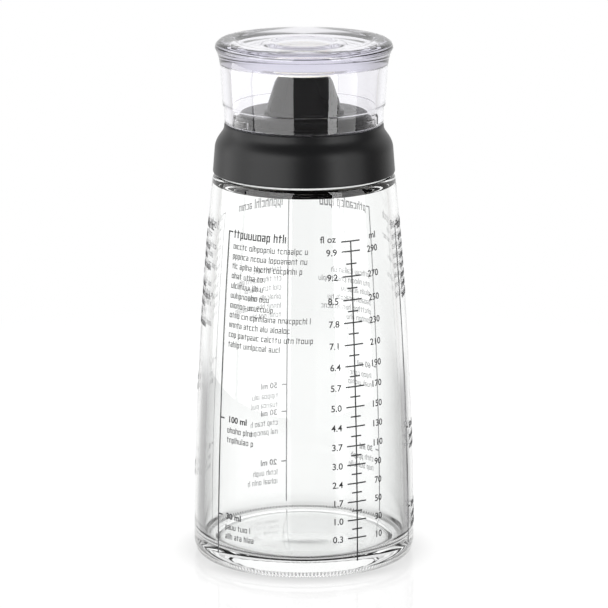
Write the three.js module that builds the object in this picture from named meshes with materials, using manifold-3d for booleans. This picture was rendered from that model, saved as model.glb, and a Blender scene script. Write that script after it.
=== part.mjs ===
// Salad dressing shaker: a round glass bottle with a printed volume scale, a black pouring
// insert held down by a screw collar, and a clear lid that closes the spout.
// Millimetres, +Z up, origin at the centre of the base. Azimuth 0 is the front (-Y) and
// grows towards +X.

import * as THREE from 'three';
import { mergeVertices } from 'three/addons/utils/BufferGeometryUtils.js';
import Module from 'manifold-3d';

const wasm = await Module();
wasm.setup();

// Clearances
const fitGap = 0.3;
const threadGap = 0.4;
const lidClearance = 0.4;
const spoutSealGap = 0.4;
const printGap = 0.06;

// Glass bottle
const baseRadius = 36;
const shoulderRadius = 29.5;
const shoulderHeight = 123.6;
const bellyBulge = 2.6;
const heelHeight = 5;
const heelRound = 2.8;
const bearingWidth = 3.8;
const puntDepth = 1.8;
const glassWall = 3.1;
const floorThickness = 5.6;
const floorDome = 1.6;
const floorFillet = 3.6;
const shoulderTurn = 2.4;
const neckWall = 3.1;
const neckHeight = 11.6;
const lipWall = 1.8;
const lipHeight = 1.1;
const lipRound = 0.45;
const innerShoulderHeight = 3.6;

// Screw thread between the neck and the collar
const threadPitch = 4;
const threadDepth = 1;
const threadTurns = 1.5;
const threadRootWidth = 1.8;
const threadCrestWidth = 0.9;
const threadStart = 2.9;
const threadOffset = 1.75;
const collarThreadLeadIn = 1 / 6;

// Gasket and pouring insert
const gasketThickness = 0.7;
const flangeThickness = 1.4;
const flangeWidth = 2.8;
const flangeLedge = 1.4;
const rimStand = 1.5;
const rimWidth = 1.2;
const deckDrop = 0.5;
const deckThickness = 1.4;
const plugWall = 1.4;
const plugLength = 6.4;
const spoutHeight = 15.9;
const spoutFootRadius = 12;
const spoutMouthRadius = 8.3;
const spoutWall = 1.3;
const spoutLipRound = 0.6;
const spoutRingWidth = 0.8;
const spoutRingHeight = 0.9;

// Screw collar
const collarPlate = 1.5;
const collarInset = 0.25;
const collarWall = 3.25;
const collarSkirtDraft = 0.6;
const collarShoulderDrop = 7.9;
const collarTopLand = 1.1;
const collarLowerHandle = 4.4;
const collarUpperHandle = 3.4;
const collarEdge = 0.35;
const collarLidLedge = 0.1;

// Clear lid
const lidWall = 2.5;
const lidDraft = 0.5;
const bandHeight = 5.5;
const bandStep = 0.3;
const lidFlare = 1;
const lidThroat = 1.65;
const lipOverhang = 1.7;
const lidPlate = 7.15;
const lipDrop = 2.5;
const crownInset = 4.2;
const crownWidth = 2.3;
const dishDepth = 1.4;
const ringRadius = 13.4;
const bossRadius = 10.4;
const bossHeight = 0.8;
const lidFillet = 0.5;

// Stop lugs inside the lid's skirt
const lugCount = 3;
const lugAzimuth = -57;
const lugWidth = 5.6;
const lugHeight = 1.5;
const lugStand = 2.4;
const lugDepth = 0.7;
const stopWidth = 1.2;
const notchDepth = 1.2;

// Seal under the lid
const sealRadius = 9.6;
const sealThickness = 2.65;
const sealSeat = 0.5;

// Print on the glass
const printThickness = 0.14;
const lineWidth = 0.42;
const printLow = 5.3;
const printHigh = 111;
const stemAzimuth = 28.3;
const panelCount = 6;
const longTick = 6.6;
const shortTick = 3.6;
const bracketTick = 1.9;
const firstMarkHeight = 13;
const firstMark = 10;
const lastMark = 290;
const markStep = 20;
const capTickLift = 3.2;
const bracketTurn = 18.2;
// Heights of each bracket's short ticks, from the first bracket past the scale
const bracketTickHeights = [[44, 17.5], [56, 27.2], [47, 37.6, 20.2], [62, 33], [50.5, 18.6]];

const turnSegments = 40;

// Heights and radii that follow from the sizes above
const ledgeHeight = shoulderHeight + shoulderTurn;
const glassLip = ledgeHeight + neckHeight;
const bearingInnerRadius = baseRadius - heelRound - bearingWidth;
const collarRadius = shoulderRadius - collarInset;
const neckRadius = collarRadius - collarWall - threadGap - threadDepth;
const neckBoreRadius = neckRadius - neckWall;
const lipRadius = neckBoreRadius + lipWall;
const gasketLow = glassLip + fitGap;
const flangeLow = gasketLow + gasketThickness + fitGap;
const flangeTop = flangeLow + flangeThickness;
const flangeRadius = neckBoreRadius - fitGap + flangeWidth;
const insertRimRadius = flangeRadius - flangeLedge;
const plateLow = flangeTop + fitGap;
const collarTop = plateLow + collarPlate;
const collarLow = ledgeHeight + fitGap;
const rimTop = collarTop + rimStand;
const deckTop = rimTop - deckDrop;
const spoutTop = deckTop + spoutHeight;
const lidFoot = collarTop + fitGap;
const lidBore = insertRimRadius + lidClearance;
const lidFootRadius = lidBore + lidWall;
const sealLow = spoutTop + spoutSealGap;
const sealTop = sealLow + sealThickness;
const ceiling = sealTop + fitGap - sealSeat;
const lidTop = ceiling + lidPlate;

const degrees = Math.PI / 180;

function point(radius, height) {
  return new THREE.Vector2(radius, height);
}

// Points along a curve, without its first one, which the outline already holds
function along(curve, steps) {
  return curve.getPoints(steps).slice(1);
}

// A rounded corner from one point to another, bulging towards the corner
function corner(start, middle, end, steps = 4) {
  return along(new THREE.QuadraticBezierCurve(start, middle, end), steps);
}

// A closed BufferGeometry as a solid for joining and cutting
function solid(geometry) {
  const bare = geometry.index ? geometry.toNonIndexed() : geometry.clone();
  bare.deleteAttribute('normal');
  bare.deleteAttribute('uv');
  const merged = mergeVertices(bare, 1e-4);
  const corners = merged.index.array;
  const kept = [];
  for (let i = 0; i < corners.length; i += 3) {
    const [a, b, c] = corners.slice(i, i + 3);
    if (a !== b && b !== c && c !== a) {
      kept.push(a, b, c);
    }
  }
  return new wasm.Manifold(new wasm.Mesh({
    numProp: 3,
    vertProperties: new Float32Array(merged.attributes.position.array),
    triVerts: new Uint32Array(kept),
  }));
}

// A solid back to a geometry that a mesh can hold
function geometryOf(body) {
  const mesh = body.getMesh();
  const geometry = new THREE.BufferGeometry();
  geometry.setAttribute('position', new THREE.BufferAttribute(new Float32Array(mesh.vertProperties), 3));
  geometry.setIndex(new THREE.BufferAttribute(new Uint32Array(mesh.triVerts), 1));
  geometry.computeVertexNormals();
  return geometry;
}

// An outline of radius and height, turned about the axis. It runs up the outside.
function turned(outline) {
  const geometry = new THREE.LatheGeometry(outline, turnSegments);
  geometry.rotateX(Math.PI / 2);
  return solid(geometry);
}

function closedTurned(outline) {
  return turned([...outline, outline[0].clone()]);
}

// A geometry modelled at the front, pushed out along -Y and turned to its azimuth
function placed(geometry, radius, azimuth, height) {
  geometry.translate(0, -radius, height);
  geometry.rotateZ(azimuth * degrees);
  return solid(geometry);
}

// One ridge of a screw thread: a trapezoid carried up a helix, thinned to nothing at its ends
function threadRidge(rootRadius, crestRadius, startHeight, fromTurn, toTurn) {
  const stepsPerTurn = 30;
  const taperTurns = 0.12;
  const sink = 0.3 * Math.sign(crestRadius - rootRadius);
  const steps = Math.round((toTurn - fromTurn) * stepsPerTurn);
  const positions = [];
  const faces = [];
  for (let i = 0; i <= steps; i += 1) {
    const turn = fromTurn + (toTurn - fromTurn) * i / steps;
    const toEnd = Math.min(turn - fromTurn, toTurn - turn);
    const rise = Math.min(1, 0.1 + toEnd / taperTurns);
    const angle = turn * 2 * Math.PI;
    const height = startHeight + turn * threadPitch;
    const crest = rootRadius + (crestRadius - rootRadius) * rise;
    const section = [
      [rootRadius - sink, -threadRootWidth / 2],
      [crest, -threadCrestWidth / 2],
      [crest, threadCrestWidth / 2],
      [rootRadius - sink, threadRootWidth / 2],
    ];
    for (const [radius, lift] of section) {
      positions.push(radius * Math.sin(angle), -radius * Math.cos(angle), height + lift);
    }
  }
  const corners = positions.length / 3 / (steps + 1);
  const last = corners * steps;
  const quad = (a, b, c, d) => faces.push(a, b, c, a, c, d);
  for (let i = 0; i < steps; i += 1) {
    const first = corners * i;
    for (let j = 0; j < corners; j += 1) {
      const next = (j + 1) % corners;
      quad(first + j, first + corners + j, first + corners + next, first + next);
    }
  }
  quad(0, 1, 2, 3);
  quad(last + 3, last + 2, last + 1, last);
  if (crestRadius < rootRadius) {
    faces.reverse();
  }
  const geometry = new THREE.BufferGeometry();
  geometry.setAttribute('position', new THREE.Float32BufferAttribute(positions, 3));
  geometry.setIndex(faces);
  return solid(geometry);
}

// The bottle's outer wall from the heel to the shoulder. Its height grows evenly along the
// curve, so the radius at a height is read straight off it.
const wallCurve = new THREE.QuadraticBezierCurve(
  point(baseRadius, heelHeight),
  point((baseRadius + shoulderRadius) / 2 + bellyBulge, (heelHeight + shoulderHeight) / 2),
  point(shoulderRadius, shoulderHeight),
);

function glassRadius(height) {
  const share = (height - heelHeight) / (shoulderHeight - heelHeight);
  return wallCurve.getPoint(THREE.MathUtils.clamp(share, 0, 1)).x;
}

function glassBottle() {
  const wallSteps = 8;
  const wallPoints = wallCurve.getPoints(wallSteps);
  const bearingOuterRadius = bearingInnerRadius + bearingWidth;
  const innerTop = ledgeHeight - innerShoulderHeight;
  const floorEdge = floorThickness + floorFillet;
  const innerPoints = [];
  for (let i = 0; i <= wallSteps; i += 1) {
    const height = innerTop + (floorEdge - innerTop) * i / wallSteps;
    innerPoints.push(point(glassRadius(height) - glassWall, height));
  }
  const lowest = innerPoints[wallSteps];
  const highest = innerPoints[0];
  const outline = [
    point(0, puntDepth),
    point(bearingInnerRadius * 0.6, puntDepth * 0.86),
    point(bearingInnerRadius - 1, puntDepth * 0.25),
    point(bearingInnerRadius, 0),
    point(bearingOuterRadius, 0),
    ...corner(point(bearingOuterRadius, 0), point(baseRadius, heelHeight * 0.08), wallPoints[0], 5),
    ...wallPoints.slice(1),
    ...corner(
      wallPoints[wallSteps],
      point(shoulderRadius - 0.25, ledgeHeight),
      point(shoulderRadius - shoulderTurn, ledgeHeight),
    ),
    point(neckRadius + 0.5, ledgeHeight),
    point(neckRadius, ledgeHeight + 0.5),
    point(neckRadius, glassLip - lipHeight - 0.3),
    point(lipRadius, glassLip - lipHeight + 0.3),
    point(lipRadius, glassLip - lipRound),
    point(lipRadius - lipRound, glassLip),
    point(neckBoreRadius + lipRound, glassLip),
    point(neckBoreRadius, glassLip - lipRound),
    point(neckBoreRadius, ledgeHeight + 1.2),
    ...corner(
      point(neckBoreRadius, ledgeHeight + 1.2),
      point(neckBoreRadius, ledgeHeight - 2.2),
      point((neckBoreRadius + highest.x) / 2, (ledgeHeight - 2.2 + highest.y) / 2 + 0.6),
      3,
    ),
    ...innerPoints,
    ...corner(lowest, point(lowest.x - 0.1, floorThickness), point(lowest.x - floorFillet, floorThickness)),
    point(bearingInnerRadius * 0.5, floorThickness + floorDome * 0.75),
    point(0, floorThickness + floorDome),
  ];
  const ridge = threadRidge(
    neckRadius, neckRadius + threadDepth, ledgeHeight + threadStart, 0, threadTurns,
  );
  return turned(outline).add(ridge);
}

function neckSeal() {
  const inner = neckBoreRadius;
  const outer = lipRadius + fitGap;
  return closedTurned([
    point(inner, gasketLow),
    point(outer, gasketLow),
    point(outer, gasketLow + gasketThickness),
    point(inner, gasketLow + gasketThickness),
  ]);
}

// Azimuth of each stop rib, at the right-hand end of its lug
const stopAzimuths = [];
for (let i = 0; i < lugCount; i += 1) {
  stopAzimuths.push(lugAzimuth + i * 360 / lugCount + (lugWidth / 2 / lidBore) / degrees);
}

function pourInsert() {
  const plugRadius = neckBoreRadius - fitGap;
  const plugBore = plugRadius - plugWall;
  const plugLow = flangeLow - plugLength;
  const ringRadiusOut = spoutFootRadius + spoutRingWidth;
  const ringTop = deckTop + spoutRingHeight;
  const deckLow = deckTop - deckThickness;
  const mouthInner = spoutMouthRadius - spoutWall;
  const outline = [
    point(plugBore, plugLow),
    point(plugRadius - 0.5, plugLow),
    point(plugRadius, plugLow + 0.8),
    point(plugRadius, flangeLow),
    point(flangeRadius, flangeLow),
    point(flangeRadius, flangeTop),
    point(insertRimRadius, flangeTop),
    point(insertRimRadius, rimTop - 0.2),
    point(insertRimRadius - 0.2, rimTop),
    point(insertRimRadius - rimWidth, rimTop),
    point(insertRimRadius - rimWidth - 0.1, deckTop),
    point(ringRadiusOut, deckTop),
    point(ringRadiusOut, ringTop - 0.25),
    point(ringRadiusOut - 0.25, ringTop),
    point(spoutFootRadius, ringTop + 0.3),
    point(spoutMouthRadius + 0.18, spoutTop - spoutLipRound),
    ...corner(
      point(spoutMouthRadius + 0.18, spoutTop - spoutLipRound),
      point(spoutMouthRadius, spoutTop),
      point(spoutMouthRadius - spoutLipRound * 0.7, spoutTop),
      3,
    ),
    point(mouthInner, spoutTop - 0.4),
    point(spoutFootRadius - spoutWall, deckTop + 0.6),
    point(ringRadiusOut, deckLow),
    point(plugBore, deckLow),
  ];
  let insert = closedTurned(outline);
  const notchWidth = stopWidth + 2 * lidClearance;
  for (const azimuth of stopAzimuths) {
    const cutter = new THREE.BoxGeometry(notchWidth, 2 * notchDepth, 2 * rimStand);
    insert = insert.subtract(placed(cutter, insertRimRadius, azimuth, rimTop));
  }
  return insert;
}

function screwCollar() {
  const crest = neckRadius + threadDepth;
  const bore = crest + threadGap;
  const topRadius = lidFootRadius + collarLidLedge;
  const shoulderLow = collarTop - collarShoulderDrop;
  const landLow = collarTop - collarTopLand;
  const stepHeight = glassLip - lipHeight;
  const upperBore = flangeRadius + fitGap;
  const opening = insertRimRadius + fitGap;
  const outline = [
    point(bore + 0.4, collarLow),
    point(collarRadius - collarEdge, collarLow),
    point(collarRadius, collarLow + collarEdge),
    point(collarRadius - collarSkirtDraft, shoulderLow),
    ...along(new THREE.CubicBezierCurve(
      point(collarRadius - collarSkirtDraft, shoulderLow),
      point(collarRadius - collarSkirtDraft - 0.35, collarTop - collarLowerHandle),
      point(topRadius + 0.15, collarTop - collarUpperHandle),
      point(topRadius, landLow),
    ), 8),
    point(topRadius, collarTop - collarEdge),
    point(topRadius - collarEdge, collarTop),
    point(opening, collarTop),
    point(opening, plateLow),
    point(upperBore, plateLow),
    point(upperBore, stepHeight + 0.4),
    point(bore, stepHeight),
    point(bore, collarLow + 1),
  ];
  const ridge = threadRidge(
    bore, neckRadius + threadGap, ledgeHeight + threadStart - threadOffset,
    collarThreadLeadIn, threadTurns,
  );
  return closedTurned(outline).add(ridge);
}

function clearLid() {
  const bandTop = lidFoot + bandHeight;
  const shaftRadius = lidFootRadius + bandStep;
  const throatRadius = shaftRadius + lidFlare;
  const throatHeight = ceiling - lidThroat;
  const lipHeightOut = lidTop - lipDrop;
  const lipRadiusOut = throatRadius + lipOverhang;
  const innerTop = lidBore - lidDraft;
  const crownRadius = lipRadiusOut - crownInset;
  const dishEdge = crownRadius - crownWidth;
  const dishLow = lidTop - dishDepth;
  const bossTop = dishLow + bossHeight;
  const outline = [
    point(0, ceiling + sealSeat),
    point(sealRadius + fitGap, ceiling + sealSeat),
    point(sealRadius + fitGap, ceiling),
    point(innerTop - lidFillet, ceiling),
    ...corner(
      point(innerTop - lidFillet, ceiling),
      point(innerTop, ceiling),
      point(innerTop, ceiling - lidFillet),
      3,
    ),
    point(lidBore, lidFoot + 0.3),
    point(lidBore + 0.3, lidFoot),
    point(lidFootRadius - 0.2, lidFoot),
    point(lidFootRadius, lidFoot + 0.2),
    point(lidFootRadius, bandTop - 0.15),
    point(shaftRadius, bandTop + 0.15),
    point(throatRadius, throatHeight),
    ...corner(
      point(throatRadius, throatHeight),
      point(throatRadius + 0.4, ceiling + 2.4),
      point(lipRadiusOut, lipHeightOut),
      5,
    ),
    ...corner(
      point(lipRadiusOut, lipHeightOut),
      point(lipRadiusOut - 0.15, lidTop - 0.8),
      point(crownRadius + crownWidth, lidTop - 0.2),
      4,
    ),
    point(crownRadius, lidTop),
    point(dishEdge, lidTop - 0.25),
    ...corner(
      point(dishEdge, lidTop - 0.25),
      point(dishEdge - 2.4, dishLow),
      point(ringRadius + 0.5, dishLow),
      4,
    ),
    point(ringRadius - 0.2, dishLow + bossHeight * 0.5),
    point(bossRadius + 0.4, bossTop),
    point(bossRadius - 0.4, bossTop - 0.3),
    point(0, bossTop - 0.5),
  ];
  let lid = turned(outline);
  const sink = 0.8;
  const lugRound = lugHeight / 2;
  const pill = new THREE.Shape();
  pill.absarc(lugWidth / 2 - lugRound, 0, lugRound, -Math.PI / 2, Math.PI / 2);
  pill.absarc(-lugWidth / 2 + lugRound, 0, lugRound, Math.PI / 2, Math.PI * 1.5);
  const lugMiddle = lidFoot + lugStand + lugRound;
  for (let i = 0; i < lugCount; i += 1) {
    const lug = new THREE.ExtrudeGeometry(pill, {
      depth: lugDepth + sink,
      bevelEnabled: false,
      curveSegments: 5,
    });
    lug.rotateX(Math.PI / 2);
    lug.translate(0, lugDepth, 0);
    lid = lid.add(placed(lug, lidBore, lugAzimuth + i * 360 / lugCount, lugMiddle));
    const stopHeight = lugMiddle - lidFoot - 0.4;
    const stop = new THREE.BoxGeometry(stopWidth, lugDepth + sink, stopHeight);
    stop.translate(0, (lugDepth - sink) / 2, -stopHeight / 2);
    lid = lid.add(placed(stop, lidBore, stopAzimuths[i], lugMiddle));
  }
  return lid;
}

function lidSeal() {
  const edge = 0.4;
  return turned([
    point(0, sealLow),
    point(sealRadius - edge, sealLow),
    point(sealRadius, sealLow + edge),
    point(sealRadius, sealTop),
    point(0, sealTop),
  ]);
}

// A flat strip bent onto the glass: its width runs round the bottle and its height up it
function printedStrip(azimuth, width, low, high) {
  const around = Math.max(1, Math.ceil(width / 3.5));
  const up = Math.max(1, Math.ceil((high - low) / 9));
  const strip = new THREE.BoxGeometry(width, printThickness, high - low, around, 1, up);
  const position = strip.attributes.position;
  for (let i = 0; i < position.count; i += 1) {
    const height = (low + high) / 2 + position.getZ(i);
    const skin = glassRadius(height);
    const radius = skin + printGap + printThickness / 2 - position.getY(i);
    const angle = azimuth * degrees + position.getX(i) / skin;
    position.setXYZ(i, radius * Math.sin(angle), -radius * Math.cos(angle), height);
  }
  return solid(strip);
}

function tick(azimuth, width, height) {
  return printedStrip(azimuth, width, height - lineWidth / 2, height + lineWidth / 2);
}

// Heights of the scale's marks: each one stands where the inside holds that much more
function markHeights() {
  const slice = 0.05;
  const heights = [firstMarkHeight];
  let volume = firstMark;
  for (let height = firstMarkHeight; heights.length <= (lastMark - firstMark) / markStep; height += slice) {
    const bore = glassRadius(height) - glassWall;
    volume += Math.PI * bore * bore * slice / 1000;
    if (volume >= firstMark + markStep * heights.length) {
      heights.push(height);
    }
  }
  return heights;
}

function printedScale() {
  const heights = markHeights();
  const top = heights[heights.length - 1] + capTickLift;
  let scale = printedStrip(stemAzimuth, lineWidth, printLow, top);
  scale = scale.add(tick(stemAzimuth, longTick, top));
  heights.forEach((height, index) => {
    scale = scale.add(tick(stemAzimuth, longTick, height));
    if (index > 0) {
      scale = scale.add(tick(stemAzimuth, shortTick, (height + heights[index - 1]) / 2));
    }
  });
  return scale;
}

function printedBracket(azimuth, tickHeights) {
  const shift = bracketTick / 2 / baseRadius / degrees;
  let bracket = printedStrip(azimuth, lineWidth, printLow, printHigh);
  for (const height of [printHigh - lineWidth / 2, ...tickHeights]) {
    bracket = bracket.add(tick(azimuth + shift, bracketTick, height));
  }
  return bracket;
}

const clearGlass = new THREE.MeshStandardMaterial({
  color: 0xeef1ef, roughness: 0.04, metalness: 0, transparent: true, opacity: 0.3,
});
const clearPlastic = new THREE.MeshStandardMaterial({
  color: 0xe9e8f0, roughness: 0.06, metalness: 0, transparent: true, opacity: 0.35,
});
const blackPlastic = new THREE.MeshStandardMaterial({ color: 0x2b2c2e, roughness: 0.5, metalness: 0 });
const collarPlastic = new THREE.MeshStandardMaterial({ color: 0x38393b, roughness: 0.55, metalness: 0 });
const palePlastic = new THREE.MeshStandardMaterial({ color: 0xe6e3d6, roughness: 0.5, metalness: 0 });
const printInk = new THREE.MeshStandardMaterial({ color: 0x2a2a2a, roughness: 0.6, metalness: 0 });

const shaker = new THREE.Group();

function addPiece(name, body, material) {
  const mesh = new THREE.Mesh(geometryOf(body), material);
  mesh.name = name;
  shaker.add(mesh);
}

addPiece('glass_bottle', glassBottle(), clearGlass);
addPiece('neck_seal', neckSeal(), palePlastic);
addPiece('pour_insert', pourInsert(), blackPlastic);
addPiece('screw_collar', screwCollar(), collarPlastic);
addPiece('clear_lid', clearLid(), clearPlastic);
addPiece('lid_seal', lidSeal(), palePlastic);
addPiece('printed_scale', printedScale(), printInk);
for (let i = 1; i < panelCount; i += 1) {
  const azimuth = stemAzimuth - bracketTurn + i * 360 / panelCount;
  addPiece(`printed_bracket_${i}`, printedBracket(azimuth, bracketTickHeights[i - 1]), printInk);
}

export default shaker;
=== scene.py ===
"""Dresses the salad dressing shaker: smooth glass, clear lid, black mouldings, print and a studio."""
import math

import bpy
import numpy as np
from bpy.props import FloatProperty, FloatVectorProperty, IntProperty, PointerProperty
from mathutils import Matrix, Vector


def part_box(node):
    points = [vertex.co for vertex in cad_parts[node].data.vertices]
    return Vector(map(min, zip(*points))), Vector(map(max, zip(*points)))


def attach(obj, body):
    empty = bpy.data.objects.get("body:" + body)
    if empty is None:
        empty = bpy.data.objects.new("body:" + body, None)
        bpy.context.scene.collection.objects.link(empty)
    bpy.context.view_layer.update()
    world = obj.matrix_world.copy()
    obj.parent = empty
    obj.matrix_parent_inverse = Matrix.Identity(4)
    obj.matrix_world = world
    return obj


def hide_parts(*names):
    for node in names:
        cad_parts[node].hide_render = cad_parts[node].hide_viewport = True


bl_info = {
    "name": "Salad dressing shaker",
    "version": (1, 0, 0),
    "blender": (4, 5, 0),
    "location": "3D View > Sidebar > Shaker",
    "description": "Builds a glass dressing shaker round its fixed frame",
    "category": "Object",
}

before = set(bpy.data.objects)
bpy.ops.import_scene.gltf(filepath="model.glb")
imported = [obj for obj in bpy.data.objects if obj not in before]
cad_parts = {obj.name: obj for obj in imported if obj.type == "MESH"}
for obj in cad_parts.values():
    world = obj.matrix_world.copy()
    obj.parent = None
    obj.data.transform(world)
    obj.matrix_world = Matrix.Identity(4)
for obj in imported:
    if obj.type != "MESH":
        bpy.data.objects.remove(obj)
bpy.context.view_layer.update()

MM = 0.001
BOTTLE_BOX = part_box("glass_bottle")
GASKET_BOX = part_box("neck_seal")
INSERT_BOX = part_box("pour_insert")
COLLAR_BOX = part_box("screw_collar")
LID_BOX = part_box("clear_lid")
SEAL_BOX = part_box("lid_seal")

# What the bottle and the collar share, and the insert and the lid
COLLAR_GAP = 0.3 * MM
THREAD_START = 2.9 * MM
THREAD_TURNS = 1.5
THREAD_ROOT = 1.8 * MM
THREAD_CREST = 0.9 * MM
THREAD_FADE = 0.12
FLANGE_WIDTH = 1.4 * MM
LUG_COUNT = 3
LUG_WIDTH = 5.6 * MM

# Finishes
KNURL_DEPTH = 0.3 * MM
GRAIN_DEPTH = 0.015 * MM
LEVEL_PART = (1, 1, 0)


def length(label, words, default):
    """A size in metres that a user can change."""
    return FloatProperty(name=label, description=words, default=default, unit="LENGTH", precision=5)


def colour(label, words, default):
    """A colour that a user can change."""
    return FloatVectorProperty(
        name=label, description=words, default=default, size=3, subtype="COLOR", min=0, max=1
    )


class BottleSizes(bpy.types.PropertyGroup):
    """Sizes of the glass bottle."""

    base_radius: length("Base radius", "Widest radius, just above the heel", BOTTLE_BOX[1][0])
    shoulder_radius: length("Shoulder radius", "Radius where the shoulder turns in", 29.5 * MM)
    bulge: length("Bulge", "How far the wall's curve is pulled outwards", 2.6 * MM)
    heel_height: length("Heel height", "Height where the heel meets the wall", 5 * MM)
    shoulder_turn: length("Shoulder turn", "Height of the rounded shoulder", 2.4 * MM)
    wall: length("Wall", "Thickness of the glass wall", 3.1 * MM)
    floor: length("Floor", "Thickness of the glass floor at its edge", 5.6 * MM)
    floor_dome: length("Floor dome", "Rise of the inside floor at its middle", 1.6 * MM)
    punt: length("Punt", "Rise of the underside at its middle", 1.8 * MM)
    neck_radius: length("Neck radius", "Outside radius of the neck under its thread", 24.6 * MM)
    bore_radius: length("Bore radius", "Inside radius of the neck", 21.5 * MM)
    thread_pitch: length("Thread pitch", "Rise of the thread in one turn", 4 * MM)
    thread_depth: length("Thread depth", "How far the thread stands out", 1 * MM)
    tint: colour("Glass tint", "Colour of the glass", (0.985, 0.992, 0.988))


class ClosureSizes(bpy.types.PropertyGroup):
    """Sizes and colours of the insert, the collar and the two seals."""

    spout_foot: length("Spout foot", "Radius of the spout at the deck", 12 * MM)
    spout_mouth: length("Spout mouth", "Radius of the spout at its top", 8.3 * MM)
    spout_wall: length("Spout wall", "Thickness of the spout's wall", 1.3 * MM)
    deck_drop: length("Gutter drop", "Depth of the gutter below the rim", 0.5 * MM)
    deck_rise: length("Deck rise", "Height of the deck above its rim", 2.3 * MM)
    insert_colour: colour("Insert colour", "Colour of the insert's plastic", (0.0032, 0.0033, 0.0036))
    collar_colour: colour("Collar colour", "Colour of the collar's plastic", (0.004, 0.0041, 0.0045))
    seal_colour: colour("Seal colour", "Colour of the silicone seals", (0.86, 0.84, 0.76))


class LidSizes(bpy.types.PropertyGroup):
    """Sizes of the clear lid."""

    wall: length("Skirt wall", "Thickness of the lid's skirt at its foot", 2.5 * MM)
    band_height: length("Band height", "Height of the band below the step line", 5.5 * MM)
    plate: length("Plate", "Height of the top above the ceiling", 7.15 * MM)
    dish_depth: length("Dish depth", "Depth of the dish in the top", 1.4 * MM)
    lug_azimuth: FloatProperty(
        name="Lug azimuth",
        description="Azimuth of the first stop lug, from the front towards +X",
        default=math.radians(-57),
        subtype="ANGLE",
    )
    tint: colour("Lid tint", "Colour of the clear plastic", (0.972, 0.97, 0.984))


class PrintSizes(bpy.types.PropertyGroup):
    """Sizes of the print on the glass."""

    stem_azimuth: FloatProperty(
        name="Stem azimuth",
        description="Azimuth of the scale's stem, from the front towards +X",
        default=math.radians(28.3),
        subtype="ANGLE",
    )
    figure_height: length("Figure height", "Height of the scale's figures", 2.15 * MM)
    ink_lift: length("Ink lift", "Gap between the glass and the ink", 0.04 * MM)
    ink_thickness: length("Ink thickness", "Thickness of the ink", 0.07 * MM)
    row_pitch: length("Row pitch", "Distance between two rows of the recipe", 3.15 * MM)
    ink: colour("Ink", "Colour of the print", (0.006, 0.006, 0.0065))


class StudioSizes(bpy.types.PropertyGroup):
    """Camera, floor and the faces round a turned piece."""

    distance: length("Camera distance", "Camera's distance along the floor", 1.19)
    height: length("Camera height", "Camera's height above the floor", 0.364)
    pitch: FloatProperty(
        name="Camera pitch",
        description="How far the camera looks down",
        default=math.radians(13.32),
        subtype="ANGLE",
    )
    lens: FloatProperty(name="Lens", description="Focal length in millimetres", default=223.5)
    floor_radius: length("Floor radius", "Radius of the floor", 0.34)
    around: IntProperty(name="Faces around", description="Faces round a turned piece", default=256)


def bezier(*points, count=8):
    """Points on a Bezier curve: the Bernstein sum of its control points, without the last one."""
    controls = np.array(points, float)
    share = np.linspace(0, 1, count, endpoint=False)[:, None]
    degree = len(controls) - 1
    curve = np.zeros((count, 2))
    for i, control in enumerate(controls):
        curve += math.comb(degree, i) * share**i * (1 - share) ** (degree - i) * control
    return curve


def straight(start, end, count=1):
    """Evenly spaced points from start towards end, without the last one."""
    return bezier(start, end, count=count)


def rounded(corner, before, after, count):
    """A quadratic Bezier round a corner, between two steps away from it, without its last point."""
    middle = np.array(corner)
    return bezier(middle + before, middle, middle + after, count=count)


def outline(*parts):
    """Joins points and runs of points into one outline of radius and height."""
    return np.vstack([np.atleast_2d(np.array(part, float)) for part in parts])


def turned_surface(name, profile, around, ring=False, relief=None):
    """A profile of radius r and height z turned about the axis: x = r sin a, y = -r cos a.

    A ring's profile closes on itself; any other runs from the axis to the axis and ends in two
    poles. relief(a, r, z) gives what is added to the radius at each point of the grid.
    """
    angle = np.linspace(0, 2 * np.pi, around, endpoint=False)
    rows = profile if ring else profile[1:-1]
    turn, radius = np.meshgrid(angle, rows[:, 0])
    height = np.repeat(rows[:, 1:2], around, axis=1)
    if relief is not None:
        radius = radius + relief(turn, radius, height)
    grid = np.stack([radius * np.sin(turn), -radius * np.cos(turn), height], axis=-1)
    points = grid.reshape(-1, 3)
    index = np.arange(len(rows) * around).reshape(len(rows), around)
    upper = np.roll(index, -1, axis=0) if ring else index[1:]
    lower = index if ring else index[:-1]
    quads = np.stack(
        [lower, np.roll(lower, -1, axis=1), np.roll(upper, -1, axis=1), upper], axis=-1
    ).reshape(-1, 4)
    faces = quads.tolist()
    if not ring:
        first = len(points)
        poles = [[0, 0, profile[0, 1]], [0, 0, profile[-1, 1]]]
        points = np.vstack([points, poles])
        after = np.roll(index, -1, axis=1)
        faces += np.stack([np.full(around, first), after[0], index[0]], axis=-1).tolist()
        faces += np.stack([np.full(around, first + 1), index[-1], after[-1]], axis=-1).tolist()
    return mesh_object(name, points, faces)


def mesh_object(name, points, faces, smooth=True):
    """A mesh object at the origin, with its place in its points."""
    mesh = bpy.data.meshes.new(name)
    mesh.from_pydata(points.tolist() if hasattr(points, "tolist") else points, [], faces)
    mesh.update()
    mesh.polygons.foreach_set("use_smooth", [smooth] * len(mesh.polygons))
    if smooth:
        mesh.set_sharp_from_angle(angle=math.radians(38))
    piece = bpy.data.objects.new(name, mesh)
    bpy.context.scene.collection.objects.link(piece)
    return piece


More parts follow.
